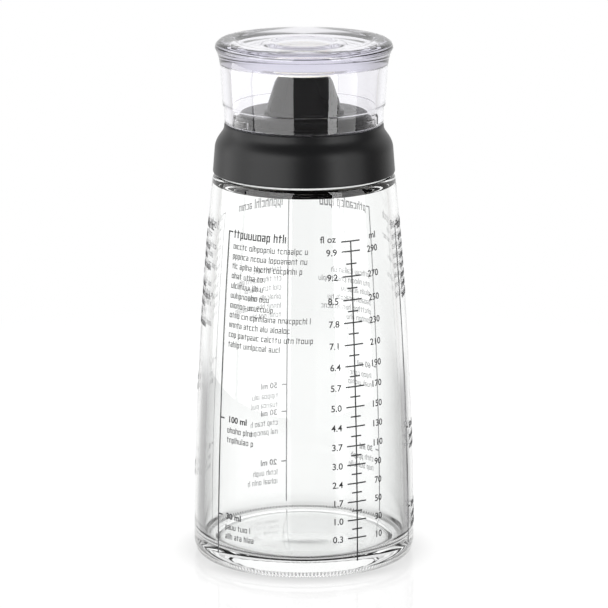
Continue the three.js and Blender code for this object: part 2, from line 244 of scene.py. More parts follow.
def helix_ridge(angle, height, start, pitch, first_turn):
    """How much of a thread's ridge stands at a point: 1 on its crest, 0 off it.

    The ridge follows height = start + pitch * turn, has a flat crest and sloping flanks, and
    fades over its first and its last part of a turn.
    """
    share = np.zeros_like(angle)
    for lap in range(int(THREAD_TURNS) + 1):
        turn = angle / (2 * np.pi) + lap
        away = np.abs(height - start - pitch * turn)
        flank = np.clip((THREAD_ROOT / 2 - away) / ((THREAD_ROOT - THREAD_CREST) / 2), 0, 1)
        fade = np.clip(np.minimum(turn - first_turn, THREAD_TURNS - turn) / THREAD_FADE, 0, 1)
        share = np.maximum(share, flank * fade)
    return share


def turn_from(angle, middle):
    """The shorter way round from one azimuth to another, below 0 on its left."""
    return (angle - middle + np.pi) % (2 * np.pi) - np.pi


def lug_azimuths(first):
    """Azimuths of the lid's stop lugs, evenly spaced round it."""
    return [first + i * 2 * np.pi / LUG_COUNT for i in range(LUG_COUNT)]


def pill_mask(angle, height, azimuth, radius, middle, width, tall, edge):
    """1 inside a round-ended bar on a wall at one azimuth, 0 outside, with a soft edge."""
    along = np.abs(turn_from(angle, azimuth) * radius) - (width - tall) / 2
    distance = np.hypot(np.maximum(along, 0), height - middle)
    return np.clip((tall / 2 - distance) / edge + 0.5, 0, 1)


def wall_radius(height, sizes):
    """Outside radius of the glass: a quadratic Bezier whose height grows evenly."""
    shoulder = COLLAR_BOX[0][2] - COLLAR_GAP - sizes.shoulder_turn
    share = np.clip((height - sizes.heel_height) / (shoulder - sizes.heel_height), 0, 1)
    middle = (sizes.base_radius + sizes.shoulder_radius) / 2 + sizes.bulge
    return (
        (1 - share) ** 2 * sizes.base_radius
        + 2 * share * (1 - share) * middle
        + share**2 * sizes.shoulder_radius
    )


def new_nodes(tree):
    """A short way to add nodes to one tree and to join them."""

    def put(socket, value):
        if isinstance(value, bpy.types.Node):
            value = next(out for out in value.outputs if out.enabled)
        if isinstance(value, bpy.types.NodeSocket):
            tree.links.new(value, socket)
        else:
            socket.default_value = value

    def add(kind, *given, **named):
        """A node. Unnamed values fill the inputs in use, named ones its settings and other inputs.

        A node or a socket as a value is linked; a node stands for its first output in use.
        """
        node = tree.nodes.new(kind if kind.startswith("Node") else "ShaderNode" + kind)
        for key, value in named.items():
            if hasattr(node, key):
                setattr(node, key, value)
            else:
                put(node.inputs[key.replace("_", " ")], value)
        used = [socket for socket in node.inputs if socket.enabled]
        for socket, value in zip(used, given):
            put(socket, value)
        return node

    return add


def blank_material(name):
    """A material without a node, and the way to add some."""
    material = bpy.data.materials.new(name)
    material.use_nodes = True
    material.node_tree.nodes.clear()
    return material, new_nodes(material.node_tree)


def group_tree(name, inputs, outputs):
    """An empty node group with float outputs and inputs; an input without a default is a vector."""
    tree = bpy.data.node_groups.new(name, "ShaderNodeTree")
    for label, default in inputs.items():
        kind = "NodeSocketVector" if default is None else "NodeSocketFloat"
        socket = tree.interface.new_socket(name=label, in_out="INPUT", socket_type=kind)
        if default is not None:
            socket.default_value = default
    for label in outputs:
        tree.interface.new_socket(name=label, in_out="OUTPUT", socket_type="NodeSocketFloat")
    add = new_nodes(tree)
    return tree, add, add("NodeGroupInput").outputs


def place_group(add, make, **values):
    """Places a shared node group, made the first time that it is asked for; gives its outputs."""
    tree = bpy.data.node_groups.get(make.__name__) or make()
    return add("Group", node_tree=tree, **values).outputs


def moulded_grain():
    """Two sizes of noise as a height, and a slow drift of gloss."""
    inputs = {"Grain size": 1500.0, "Gloss drift": 0.05, "Gloss": 0.45}
    tree, add, given = group_tree("moulded_grain", inputs, ("Height", "Roughness"))
    place = add("TexCoord").outputs["Object"]
    fine = add("TexNoise", Vector=place, Scale=given["Grain size"], Detail=3.0, Roughness=0.6)
    slow = add("TexNoise", Vector=place, Scale=55.0, Detail=2.0)
    centred = add("Math", slow, 0.5, operation="SUBTRACT")
    drift = add("Math", centred, given["Gloss drift"], given["Gloss"], operation="MULTIPLY_ADD")
    add("NodeGroupOutput", fine, drift)
    return tree


def cast_ripple():
    """Long soft waves down a clear wall, as a height."""
    tree, add, given = group_tree("cast_ripple", {"Size": 40.0, "Stretch": 0.35}, ("Height",))
    place = add("TexCoord").outputs["Object"]
    squeeze = add("CombineXYZ", 1.0, 1.0, given["Stretch"])
    scaled = add("VectorMath", place, squeeze, operation="MULTIPLY")
    noise = add("TexNoise", Vector=scaled, Scale=given["Size"], Detail=1.0, Roughness=0.4)
    add("NodeGroupOutput", noise)
    return tree


def heel_knurl():
    """Ridges round the bearing ring: a wave of (count * angle) that fades above the heel."""
    inputs = {"Count": 190.0, "Top": 2.5 * MM, "Inner radius": 29.2 * MM}
    tree, add, given = group_tree("heel_knurl", inputs, ("Height",))
    place = add("TexCoord").outputs["Object"]
    parts = add("SeparateXYZ", place).outputs
    angle = add("Math", parts["X"], parts["Y"], operation="ARCTAN2")
    phase = add("Math", angle, given["Count"], operation="MULTIPLY")
    wave = add("Math", phase, operation="SINE")
    fade = add("MapRange", parts["Z"], 0.0, given["Top"], 1.0, 0.0)
    level = add("VectorMath", place, LEVEL_PART, operation="MULTIPLY")
    radius = add("VectorMath", level, operation="LENGTH")
    outside = add("Math", radius, given["Inner radius"], operation="GREATER_THAN")
    zone = add("Math", fade, outside, operation="MULTIPLY")
    ridges = add("Math", wave, zone, operation="MULTIPLY")
    add("NodeGroupOutput", ridges)
    return tree


def studio_sides():
    """How bright a horizontal direction is, as the camera stands to it.

    Seen through glass it is white overhead and straight ahead, darker to both sides and dark on
    the camera's side. Seen in a reflection it is white behind the object and dark on that side.
    """
    inputs = {
        "Direction": None,
        "Narrow": math.sin(math.radians(20)),
        "Wide": math.sin(math.radians(60)),
        "Dark": 0.75,
    }
    tree, add, given = group_tree("studio_sides", inputs, ("Through", "Mirrored"))
    soft = {"interpolation_type": "SMOOTHSTEP"}
    full_white = 1.08
    glass_front = 0.12
    gloss_front = 0.05
    level = add("VectorMath", given["Direction"], LEVEL_PART, operation="MULTIPLY")
    unit = add("VectorMath", level, operation="NORMALIZE")
    seen = add("VectorTransform", unit, vector_type="VECTOR", convert_from="WORLD", convert_to="CAMERA")
    parts = add("SeparateXYZ", seen).outputs
    aside = add("Math", parts["X"], operation="ABSOLUTE")
    through = add("MapRange", aside, given["Narrow"], given["Wide"], full_white, given["Dark"], **soft)
    behind = add("MapRange", parts["Z"], -0.4, 0.0, glass_front, 1.0, **soft)
    ahead = add("Math", through, behind, operation="MULTIPLY")
    rise = add("SeparateXYZ", given["Direction"]).outputs["Z"]
    above = add("MapRange", rise, 0.1, 0.5, 0.0, 1.0, **soft)
    brighter = add("Math", ahead, above, operation="MAXIMUM")
    mirrored = add("MapRange", parts["Z"], 0.0, 0.8, gloss_front, 1.0, **soft)
    add("NodeGroupOutput", brighter, mirrored)
    return tree


def clear_material(name, tint, ior, ripple_size, ripple_depth, knurled=False, soak=0.0):
    """Clear glass or plastic. Lamps shine through it, so what is behind it is lit.

    The soak is how fast the body itself takes light away, per metre, less of it in the blue.
    """
    material, add = blank_material(name)
    ripple = place_group(add, cast_ripple, Size=ripple_size)["Height"]
    normal = add("Bump", Strength=1.0, Distance=ripple_depth, Height=ripple)
    if knurled:
        knurl = place_group(add, heel_knurl)["Height"]
        normal = add("Bump", Strength=1.0, Distance=KNURL_DEPTH, Height=knurl, Normal=normal)
    glass = add("BsdfPrincipled", Base_Color=(*tint, 1), IOR=ior, Roughness=0.0, Normal=normal)
    glass.inputs["Transmission Weight"].default_value = 1.0
    path = add("LightPath").outputs
    soft_rays = add("Math", path["Is Shadow Ray"], path["Is Diffuse Ray"], operation="MAXIMUM")
    through = add("BsdfTransparent", Color=(0.9, 0.9, 0.9, 1))
    parts = {"Surface": add("MixShader", soft_rays, glass, through)}
    if soak:
        parts["Volume"] = add("VolumeAbsorption", Color=(0.1, 0.05, 0.45, 1), Density=soak)
    add("OutputMaterial", **parts)
    return material


def moulded_material(name, base, shine, gloss, grain_size):
    """Black or charcoal moulded plastic with a fine grain and an uneven sheen."""
    material, add = blank_material(name)
    grain = place_group(add, moulded_grain, Grain_size=grain_size, Gloss=gloss)
    bump = add("Bump", Strength=1.0, Distance=GRAIN_DEPTH, Height=grain["Height"])
    plastic = add("BsdfPrincipled", Base_Color=(*base, 1), IOR=1.5, Normal=bump)
    plastic.inputs["Specular IOR Level"].default_value = shine
    material.node_tree.links.new(grain["Roughness"], plastic.inputs["Roughness"])
    add("OutputMaterial", Surface=plastic)
    return material


def seal_material(base):
    """Milky silicone: light soaks a little way in."""
    material, add = blank_material("milky_silicone")
    grain = place_group(add, moulded_grain, Grain_size=900.0, Gloss=0.5)
    rubber = add(
        "BsdfPrincipled",
        Base_Color=(*base, 1),
        IOR=1.41,
        Roughness=grain["Roughness"],
        Subsurface_Weight=0.3,
        Subsurface_Radius=(2 * MM, 1.8 * MM, 1.4 * MM),
        Subsurface_Scale=1.0,
    )
    add("OutputMaterial", Surface=rubber)
    return material


def ink_material(base):
    """Screen ink: black, a little uneven in its cover, and paler from inside the bottle."""
    material, add = blank_material("screen_ink")
    grain = place_group(add, moulded_grain, Grain_size=2600.0, Gloss=0.6)
    cover = add("MapRange", grain["Height"], 0.35, 0.75)
    thin = [3 * part for part in base]
    shade = add("Mix", cover, (*base, 1), (*thin, 1), data_type="RGBA")
    place = add("TexCoord").outputs
    level = add("VectorMath", place["Object"], LEVEL_PART, operation="MULTIPLY")
    facing = add("VectorMath", level, place["Normal"], operation="DOT_PRODUCT")
    inward = add("Math", facing, 0.0, operation="LESS_THAN")
    both = add("Mix", inward, shade, (0.30, 0.30, 0.31, 1), data_type="RGBA")
    ink = add("BsdfPrincipled", Base_Color=both, IOR=1.5, Roughness=grain["Roughness"])
    add("OutputMaterial", Surface=ink)
    return material


def finish_piece(piece, material, body, slot, *nodes):
    """Gives a new piece its material and its body, and hides the CAD nodes that it stands for; the slot
    is not used.
    """
    piece.data.materials.append(material)
    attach(piece, body)
    if nodes:
        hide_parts(*nodes)


class SHAKER_OT_bottle(bpy.types.Operator):
    """Build the smooth glass bottle with its threaded neck"""

    bl_idname = "shaker.bottle"
    bl_label = "Glass bottle"

    def execute(self, context):
        sizes = context.scene.shaker_bottle
        around = context.scene.shaker_studio.around
        ledge = COLLAR_BOX[0][2] - COLLAR_GAP
        lip = BOTTLE_BOX[1][2]
        shoulder = ledge - sizes.shoulder_turn
        bearing_in = 29.4 * MM
        bearing_out = 33.2 * MM
        bore = sizes.bore_radius
        lip_radius = bore + 1.8 * MM
        lip_low = lip - 1.1 * MM
        lip_round = 0.45 * MM
        floor_round = 3.6 * MM
        neck_point = (sizes.neck_radius, ledge + 0.5 * MM)
        heights = np.linspace(sizes.heel_height, shoulder, 40)
        wall = np.column_stack([wall_radius(heights, sizes), heights])
        floor_edge = sizes.floor + floor_round
        inner_top = ledge - 3.6 * MM
        inner_heights = np.linspace(inner_top, floor_edge, 40)
        inner = np.column_stack([wall_radius(inner_heights, sizes) - sizes.wall, inner_heights])
        turn_in = ((bore + inner[0, 0]) / 2, (ledge - 2.2 * MM + inner_top) / 2 + 0.6 * MM)
        floor_start = (inner[-1, 0] - floor_round, sizes.floor)
        dome = sizes.floor + sizes.floor_dome
        profile = outline(
            (0, sizes.punt),
            bezier((0.01, sizes.punt), (20 * MM, sizes.punt), (27 * MM, 0.9 * MM), count=10),
            bezier((27 * MM, 0.9 * MM), (28.6 * MM, 0.3 * MM), (bearing_in, 0), count=5),
            straight((bearing_in, 0), (bearing_out, 0), 4),
            bezier((bearing_out, 0), (sizes.base_radius, 0.4 * MM), wall[0], count=12),
            wall[:-1],
            bezier(
                wall[-1],
                (sizes.shoulder_radius - 0.25 * MM, ledge),
                (sizes.shoulder_radius - sizes.shoulder_turn, ledge),
                count=10,
            ),
            (sizes.neck_radius + 0.5 * MM, ledge),
            straight(neck_point, (sizes.neck_radius, lip_low - 0.3 * MM), 50),
            (sizes.neck_radius, lip_low - 0.3 * MM),
            (lip_radius, lip_low + 0.3 * MM),
            rounded((lip_radius, lip), (0, -lip_round), (-lip_round, 0), 4),
            rounded((bore, lip), (lip_round, 0), (0, -lip_round), 4),
            straight((bore, lip - lip_round), (bore, ledge + 1.2 * MM), 4),
            bezier((bore, ledge + 1.2 * MM), (bore, ledge - 2.2 * MM), turn_in, inner[0], count=16),
            inner[:-1],
            bezier(inner[-1], (inner[-1, 0] - 0.1 * MM, sizes.floor), floor_start, count=10),
            bezier(floor_start, (floor_start[0] * 0.6, dome), (1 * MM, dome), count=12),
            (0, dome),
        )

        def thread(angle, radius, height):
            outside = (radius > sizes.neck_radius - 0.1 * MM) & (height > ledge + 0.6 * MM)
            ridge = helix_ridge(angle, height, ledge + THREAD_START, sizes.thread_pitch, 0)
            return np.where(outside, ridge * sizes.thread_depth, 0)

        piece = turned_surface("bottle_glass_shell", profile, around, relief=thread)
        glass = clear_material(
            "bottle_glass",
            tuple(sizes.tint),
            ior=1.5,
            ripple_size=45.0,
            ripple_depth=0.05 * MM,
            knurled=True,
        )
        finish_piece(piece, glass, "bottle", "bottle_glass", "glass_bottle")
        return {"FINISHED"}


class SHAKER_OT_insert(bpy.types.Operator):
    """Build the black pouring insert with its deck and spout, and the gasket under it"""

    bl_idname = "shaker.insert"
    bl_label = "Pouring insert"

    def execute(self, context):
        sizes = context.scene.shaker_closure
        around = context.scene.shaker_studio.around
        low = INSERT_BOX[0][2]
        top = INSERT_BOX[1][2]
        flange = INSERT_BOX[1][0]
        flange_low = low + 6.4 * MM
        flange_top = flange_low + 1.4 * MM
        plug_wall = 1.4 * MM
        rim = COLLAR_BOX[1][2] + 1.5 * MM
        rim_radius = flange - FLANGE_WIDTH
        plug = flange - 2.8 * MM
        plug_bore = plug - plug_wall
        gutter = rim - sizes.deck_drop
        deck = rim + sizes.deck_rise
        deck_edge = (rim_radius - 2.4 * MM, deck)
        foot_ring = sizes.spout_foot + 0.8 * MM
        ring_top = deck + 0.9 * MM
        ring_in = (foot_ring - 0.3 * MM, ring_top)
        cone = (sizes.spout_foot - 0.15 * MM, deck + 1.8 * MM)
        mouth = sizes.spout_mouth
        mouth_bore = mouth - sizes.spout_wall
        neck = (mouth + 0.18 * MM, top - 0.6 * MM)
        profile = outline(
            (plug_bore, low),
            (plug - 0.5 * MM, low),
            (plug, low + 0.8 * MM),
            (plug, flange_low),
            (flange, flange_low),
            (flange, flange_top),
            straight((rim_radius, flange_top), (rim_radius, rim - 0.2 * MM), 10),
            rounded((rim_radius, rim), (0, -0.2 * MM), (-0.2 * MM, 0), 3),
            (rim_radius - 1.05 * MM, rim),
            bezier(
                (rim_radius - 1.15 * MM, rim - 0.1 * MM),
                (rim_radius - 1.2 * MM, gutter),
                (rim_radius - 1.4 * MM, gutter),
                count=4,
            ),
            (rim_radius - 1.6 * MM, gutter),
            bezier(
                (rim_radius - 1.7 * MM, gutter + 0.2 * MM),
                (rim_radius - 1.8 * MM, deck),
                deck_edge,
                count=6,
            ),
            straight(deck_edge, (foot_ring, deck), 4),
            (foot_ring, deck),
            bezier((foot_ring, deck + 0.6 * MM), (foot_ring, ring_top), ring_in, count=4),
            bezier(ring_in, (sizes.spout_foot + 0.1 * MM, deck + 0.95 * MM), cone, count=5),
            straight(cone, neck, 10),
            bezier(neck, (mouth, top), (mouth - 0.42 * MM, top), count=7),
            bezier((mouth - 0.8 * MM, top), (mouth_bore, top), (mouth_bore, top - 0.5 * MM), count=5),
            (sizes.spout_foot - sizes.spout_wall, deck + 0.6 * MM),
            (foot_ring, gutter - plug_wall),
            (plug_bore, gutter - plug_wall),
        )
        lid = context.scene.shaker_lid
        lug_end = LUG_WIDTH / 2 / (23 * MM)
        notch_half = 1.0 * MM
        notch_height = 1.5 * MM
        notch_depth = 0.8 * MM
        soft_edge = 0.25 * MM

        def notches(angle, radius, height):
            cut = np.zeros_like(angle)
            for azimuth in lug_azimuths(lid.lug_azimuth):
                across = np.abs(turn_from(angle, azimuth + lug_end) * radius)
                side = np.clip((notch_half - across) / soft_edge + 0.5, 0, 1)
                cut = np.maximum(cut, side)
            rim_wall = (radius > rim_radius - 0.25 * MM) & (height > rim - notch_height)
            return np.where(rim_wall, -notch_depth * cut, 0)

        piece = turned_surface("pouring_insert", profile, around, ring=True, relief=notches)
        plastic = moulded_material(
            "insert_black", tuple(sizes.insert_colour), shine=0.11, gloss=0.27, grain_size=1700.0
        )
        finish_piece(piece, plastic, "insert", "insert_plastic", "pour_insert")

        inner = 21.5 * MM
        outer = GASKET_BOX[1][0]
        base = GASKET_BOX[0][2]
        height = GASKET_BOX[1][2]
        edge = 0.15 * MM
        gasket = outline(
            (inner + edge, base),
            (outer - edge, base),
            (outer, base + edge),
            (outer, height - edge),
            (outer - edge, height),
            (inner + edge, height),
            (inner, height - edge),
            (inner, base + edge),
        )
        ring = turned_surface("neck_gasket", gasket, 128, ring=True)
        finish_piece(ring, silicone(context), "insert", "seal", "neck_seal")
        return {"FINISHED"}


def silicone(context):
    """The seals' shared material."""
    return bpy.data.materials.get("milky_silicone") or seal_material(
        tuple(context.scene.shaker_closure.seal_colour)
    )


class SHAKER_OT_collar(bpy.types.Operator):
    """Build the charcoal screw collar with its inside thread"""

    bl_idname = "shaker.collar"
    bl_label = "Screw collar"

    def execute(self, context):
        sizes = context.scene.shaker_closure
        bottle = context.scene.shaker_bottle
        around = context.scene.shaker_studio.around
        low = COLLAR_BOX[0][2]
        top = COLLAR_BOX[1][2]
        radius = COLLAR_BOX[1][0]
        bore = bottle.neck_radius + bottle.thread_depth + 0.4 * MM
        plate_low = top - 1.5 * MM
        upper_bore = INSERT_BOX[1][0] + 0.3 * MM
        opening = INSERT_BOX[1][0] - 1.1 * MM
        step = BOTTLE_BOX[1][2] - 1.1 * MM
        skirt = (radius - 0.6 * MM, top - 7.9 * MM)
        land = (25.6 * MM, top - 1.1 * MM)
        profile = outline(
            (bore + 0.4 * MM, low),
            bezier((radius - 0.4 * MM, low), (radius, low), (radius, low + 0.4 * MM), count=6),
            straight((radius, low + 0.4 * MM), skirt, 12),
            bezier(
                skirt,
                (radius - 0.95 * MM, top - 4.4 * MM),
                (land[0] + 0.15 * MM, top - 3.4 * MM),
                land,
                count=28,
            ),
            bezier(land, (land[0], top - 0.02 * MM), (land[0] - 0.5 * MM, top), count=8),
            straight((land[0] - 0.5 * MM, top), (opening + 0.2 * MM, top), 2),
            bezier((opening + 0.2 * MM, top), (opening, top), (opening, top - 0.2 * MM), count=3),
            (opening, plate_low),
            (upper_bore, plate_low),
            (upper_bore, step + 0.4 * MM),
            straight((bore, step), (bore, low + 1 * MM), 44),
            (bore, low + 1 * MM),
        )

        below_bottle_thread = 1.75 * MM
        start = low - COLLAR_GAP + THREAD_START - below_bottle_thread
        first_turn = 1 / 6

        def thread(angle, around_radius, height):
            inside = np.abs(around_radius - bore) < 0.05 * MM
            ridge = helix_ridge(angle, height, start, bottle.thread_pitch, first_turn)
            return np.where(inside, -ridge * bottle.thread_depth, 0)

        piece = turned_surface("charcoal_collar", profile, around, ring=True, relief=thread)
        plastic = moulded_material(
            "collar_charcoal", tuple(sizes.collar_colour), shine=0.21, gloss=0.36, grain_size=1500.0
        )
        finish_piece(piece, plastic, "collar", "collar_plastic", "screw_collar")
        return {"FINISHED"}


class SHAKER_OT_lid(bpy.types.Operator):
    """Build the thick clear lid with its stop lugs, and the seal under it"""

    bl_idname = "shaker.lid"
    bl_label = "Clear lid"

    def execute(self, context):
        sizes = context.scene.shaker_lid
        around = 360
        foot = LID_BOX[0][2]
        top = LID_BOX[1][2]
        lip_radius = LID_BOX[1][0]
        bore = INSERT_BOX[1][0] - FLANGE_WIDTH + 0.4 * MM
        foot_radius = bore + sizes.wall
        band_top = foot + sizes.band_height
        shaft = foot_radius + 0.6 * MM
        throat = lip_radius - 1.7 * MM
        ceiling = top - sizes.plate
        waist = (throat, ceiling - 1.65 * MM)
        lip = (lip_radius, top - 2.5 * MM)
        recess = ceiling + 0.5 * MM
        inner_top = bore + 0.75 * MM
        seat = SEAL_BOX[1][0] + 0.3 * MM
        fillet = 0.5 * MM
        crown = 24.3 * MM
        crest = (crown + 2.3 * MM, top - 0.2 * MM)
        dish = (crown - 2.3 * MM, top - 0.25 * MM)
        dish_low = top - sizes.dish_depth
        boss_top = dish_low + 0.8 * MM
        boss_floor = boss_top - 0.5 * MM
        boss_foot = (13.9 * MM, dish_low)
        boss_edge = (10.8 * MM, boss_top)
        boss_dip = (8 * MM, boss_floor)
        profile = outline(
            (0, recess),
            straight((2 * MM, recess), (seat, recess), 4),
            (seat, recess),
            (seat, ceiling),
            straight((seat, ceiling), (inner_top - fillet, ceiling), 6),
            rounded((inner_top, ceiling), (-fillet, 0), (0, -fillet), 16),
            straight((inner_top, ceiling - fillet), (bore, foot + 4.2 * MM), 8),
            straight((bore, foot + 4.2 * MM), (bore, foot + 0.3 * MM), 26),
            rounded((bore, foot), (0, 0.3 * MM), (0.3 * MM, 0), 4),
            rounded((foot_radius, foot), (-0.35 * MM, 0), (0, 0.35 * MM), 6),
            straight((foot_radius, foot + 0.35 * MM), (foot_radius, band_top - 0.2 * MM), 6),
            rounded((foot_radius, band_top), (0, -0.2 * MM), (0.15 * MM, 0), 4),
            bezier(
                (foot_radius + 0.15 * MM, band_top),
                (shaft, band_top),
                (shaft, band_top + 0.45 * MM),
                count=10,
            ),
            straight((shaft, band_top + 0.45 * MM), waist, 12),
            bezier(waist, (throat + 0.4 * MM, ceiling + 2.4 * MM), lip, count=16),
            bezier(lip, (lip_radius - 0.15 * MM, top - 0.8 * MM), crest, count=12),
            bezier(crest, (crown, top + 0.12 * MM), dish, count=10),
            bezier(dish, (dish[0] - 2.4 * MM, dish_low), boss_foot, count=16),
            bezier(boss_foot, (13.2 * MM, dish_low), (12.2 * MM, boss_top), boss_edge, count=10),
            bezier(boss_edge, (10 * MM, boss_top), (9.4 * MM, boss_top - 0.45 * MM), boss_dip, count=8),
            straight(boss_dip, (1 * MM, boss_floor), 4),
            (0, boss_floor),
        )
        lug_middle = foot + 3.15 * MM
        lug_tall = 1.5 * MM
        lug_depth = 0.7 * MM
        stop_half = 0.6 * MM
        soft_edge = 0.3 * MM

        def lugs(angle, radius, height):
            inside = (radius > bore - 0.2 * MM) & (radius < bore + 0.05 * MM) & (height > foot + 0.2 * MM)
            raised = np.zeros_like(angle)
            for azimuth in lug_azimuths(sizes.lug_azimuth):
                bar = pill_mask(
                    angle, height, azimuth, bore, lug_middle, LUG_WIDTH, lug_tall, soft_edge
                )
                across = np.abs(turn_from(angle, azimuth + LUG_WIDTH / 2 / bore) * bore)
                stop = np.clip((stop_half - across) / soft_edge + 0.5, 0, 1)
                stop = np.where((height > foot + 0.5 * MM) & (height < lug_middle), stop, 0)
                raised = np.maximum(raised, np.maximum(bar, stop))
            return np.where(inside, -lug_depth * raised, 0)

        piece = turned_surface("lid_clear_shell", profile, around, relief=lugs)
        plastic = clear_material(
            "lid_plastic",
            tuple(sizes.tint),
            ior=1.53,
            ripple_size=60.0,
            ripple_depth=0.008 * MM,
            soak=6.0,
        )
        finish_piece(piece, plastic, "lid", "lid_plastic", "clear_lid")

        radius = SEAL_BOX[1][0]
        low = SEAL_BOX[0][2]
        high = SEAL_BOX[1][2]
        disc = outline(
            (0, low),
            straight((2 * MM, low), (radius - 0.6 * MM, low), 3),
            bezier((radius - 0.6 * MM, low), (radius, low), (radius, low + 0.6 * MM), count=6),
            (radius, low + 0.6 * MM),
            (radius, high - 0.2 * MM),
            (radius - 0.2 * MM, high),
            (0, high),
        )
        seal = turned_surface("spout_seal_disc", disc, 160)
        finish_piece(seal, silicone(context), "lid", "seal", "lid_seal")
        return {"FINISHED"}


# Share of a letter's size that its capitals and figures stand high
CAPITAL_SHARE = 0.72


def wrap(points, azimuth, height, lift, sizes):
    """Bends flat points onto the glass: x runs round it, y up it and z out of it."""
    heights = height + points[:, 1]
    skin = wall_radius(heights, sizes)
    angle = azimuth + points[:, 0] / skin
    radius = skin + lift + points[:, 2]
    return np.column_stack([radius * np.sin(angle), -radius * np.cos(angle), heights])


def lettered(text, size, align, thickness, bold=0.035 * MM):
    """Points and faces of a short text, flat, standing on y = 0, a little thick."""
    curve = bpy.data.curves.new("figure", "FONT")
    curve.body = text
    curve.size = size / CAPITAL_SHARE
    curve.align_x = align
    curve.extrude = thickness / 2
    curve.offset = bold
    curve.resolution_u = 3
    holder = bpy.data.objects.new("figure", curve)
    bpy.context.scene.collection.objects.link(holder)
    shaped = holder.evaluated_get(bpy.context.evaluated_depsgraph_get())
    mesh = bpy.data.meshes.new_from_object(shaped)
    points = np.zeros(len(mesh.vertices) * 3)
    mesh.vertices.foreach_get("co", points)
    faces = [list(face.vertices) for face in mesh.polygons]
    bpy.data.objects.remove(holder)
    bpy.data.curves.remove(curve)
    bpy.data.meshes.remove(mesh)
    return points.reshape(-1, 3), faces


def join_lots(lots):
    """Joins several lots of points and faces into one."""
    points = []
    faces = []
    count = 0
    for more_points, more_faces in lots:
        points.append(more_points)
        faces += [[count + i for i in face] for face in more_faces]
        count += len(more_points)
    return np.vstack(points), faces


# The scale's marks in ml and the fluid ounces beside them
MARKS = range(10, 291, 20)
OUNCES = "0.3 1.0 1.7 2.4 3.0 3.7 4.4 5.0 5.7 6.4 7.1 7.8 8.5 9.2 9.9".split()


def mark_heights(sizes):
    """Heights of the marks, each where the inside holds 20 ml more: a sum of thin slices."""
    first = 13 * MM
    slice_height = 0.05 * MM
    heights = first + slice_height * np.arange(2200)
    bore = wall_radius(heights, sizes) - sizes.wall
    volume = MARKS[0] + np.cumsum(np.pi * bore**2 * slice_height) * 1e6
    return np.interp(MARKS, np.append(MARKS[0], volume[:-1]), heights)


class SHAKER_OT_scale(bpy.types.Operator):
    """Ink the scale and its brackets, and set the scale's figures beside it"""

    bl_idname = "shaker.scale"
    bl_label = "Volume scale"

    def execute(self, context):
        bottle = context.scene.shaker_bottle
        sizes = context.scene.shaker_print
        ink = ink_material(tuple(sizes.ink))
        for name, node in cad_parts.items():
            if name.startswith("printed_"):
                node.data.materials.clear()
                node.data.materials.append(ink)
        lift = sizes.ink_lift + sizes.ink_thickness / 2
        half = sizes.figure_height / 2
        heights = mark_heights(bottle)
        labels = []
        for height, millilitres, ounces in zip(heights, MARKS, OUNCES):
            labels.append((str(millilitres), 8.4 * MM, height, height - half))
            labels.append((ounces, -6.6 * MM, height, height - half))
        cap = heights[-1] + 3.2 * MM
        labels.append(("fl oz", -7.6 * MM, cap, cap))
        labels.append(("ml", 8.6 * MM, cap, cap))
        lots = []
        for text, shift, height, foot in labels:
            points, faces = lettered(text, sizes.figure_height, "CENTER", sizes.ink_thickness)
            azimuth = sizes.stem_azimuth + shift / wall_radius(height, bottle)
            lots.append((wrap(points, azimuth, foot, lift, bottle), faces))
        points, faces = join_lots(lots)
        figures = mesh_object("scale_figures", points, faces, smooth=False)
        finish_piece(figures, ink, "bottle", "print")
        return {"FINISHED"}


LETTER_FORMS = (
    ((0, 0, 0, 1),),
    ((0, 0, 0, 1.45),),
    ((0, 0, 0, 1), (0, 1, 0.6, 1), (0.6, 0, 0.6, 1)),
    ((0, 0, 0, 1), (0, 0, 0.6, 0), (0.6, 0, 0.6, 1)),
    ((0, 0, 0, 1), (0, 0, 0.6, 0), (0, 1, 0.6, 1), (0.6, 0, 0.6, 1)),
    ((0, 0, 0, 1), (0, 0, 0.5, 0), (0, 1, 0.5, 1)),
    ((0, -0.4, 0, 1), (0, 1, 0.5, 1), (0.5, 0, 0.5, 1), (0, 0, 0.5, 0)),
    ((0, 0, 0, 1.45), (0, 1, 0.55, 1), (0.55, 0, 0.55, 1)),
    ((0.15, 0, 0.15, 1.3), (0, 1, 0.4, 1)),
    ((0, 1, 0.5, 1), (0.5, 0, 0.5, 1), (0, 0.5, 0.5, 0.5), (0, 0, 0, 0.5), (0, 0, 0.5, 0)),
)


# Gaps between two made-up letters and between two words, as shares of a letter's height
LETTER_GAP = 0.42
WORD_GAP = 0.55


def mock_row(width, letter, draw):
    """Strokes of one row of made-up letters, as wide as asked: words of 3 to 9 forms each.

    Each stroke is a bar from (x0, y0) to (x1, y1), thickened by half a line on every side.
    """
    strokes = []
    across = 0.0
    left = 0
    while across < width:
        if left == 0:
            left = int(draw.integers(3, 10))
            across += letter * WORD_GAP if strokes else 0.0
        form = LETTER_FORMS[int(draw.integers(0, len(LETTER_FORMS)))]
        for x0, y0, x1, y1 in form:
            strokes.append((across + x0 * letter, y0 * letter, across + x1 * letter, y1 * letter))
        across += (max(max(x0, x1) for x0, _, x1, _ in form) + LETTER_GAP) * letter
        left -= 1
    return np.array(strokes)


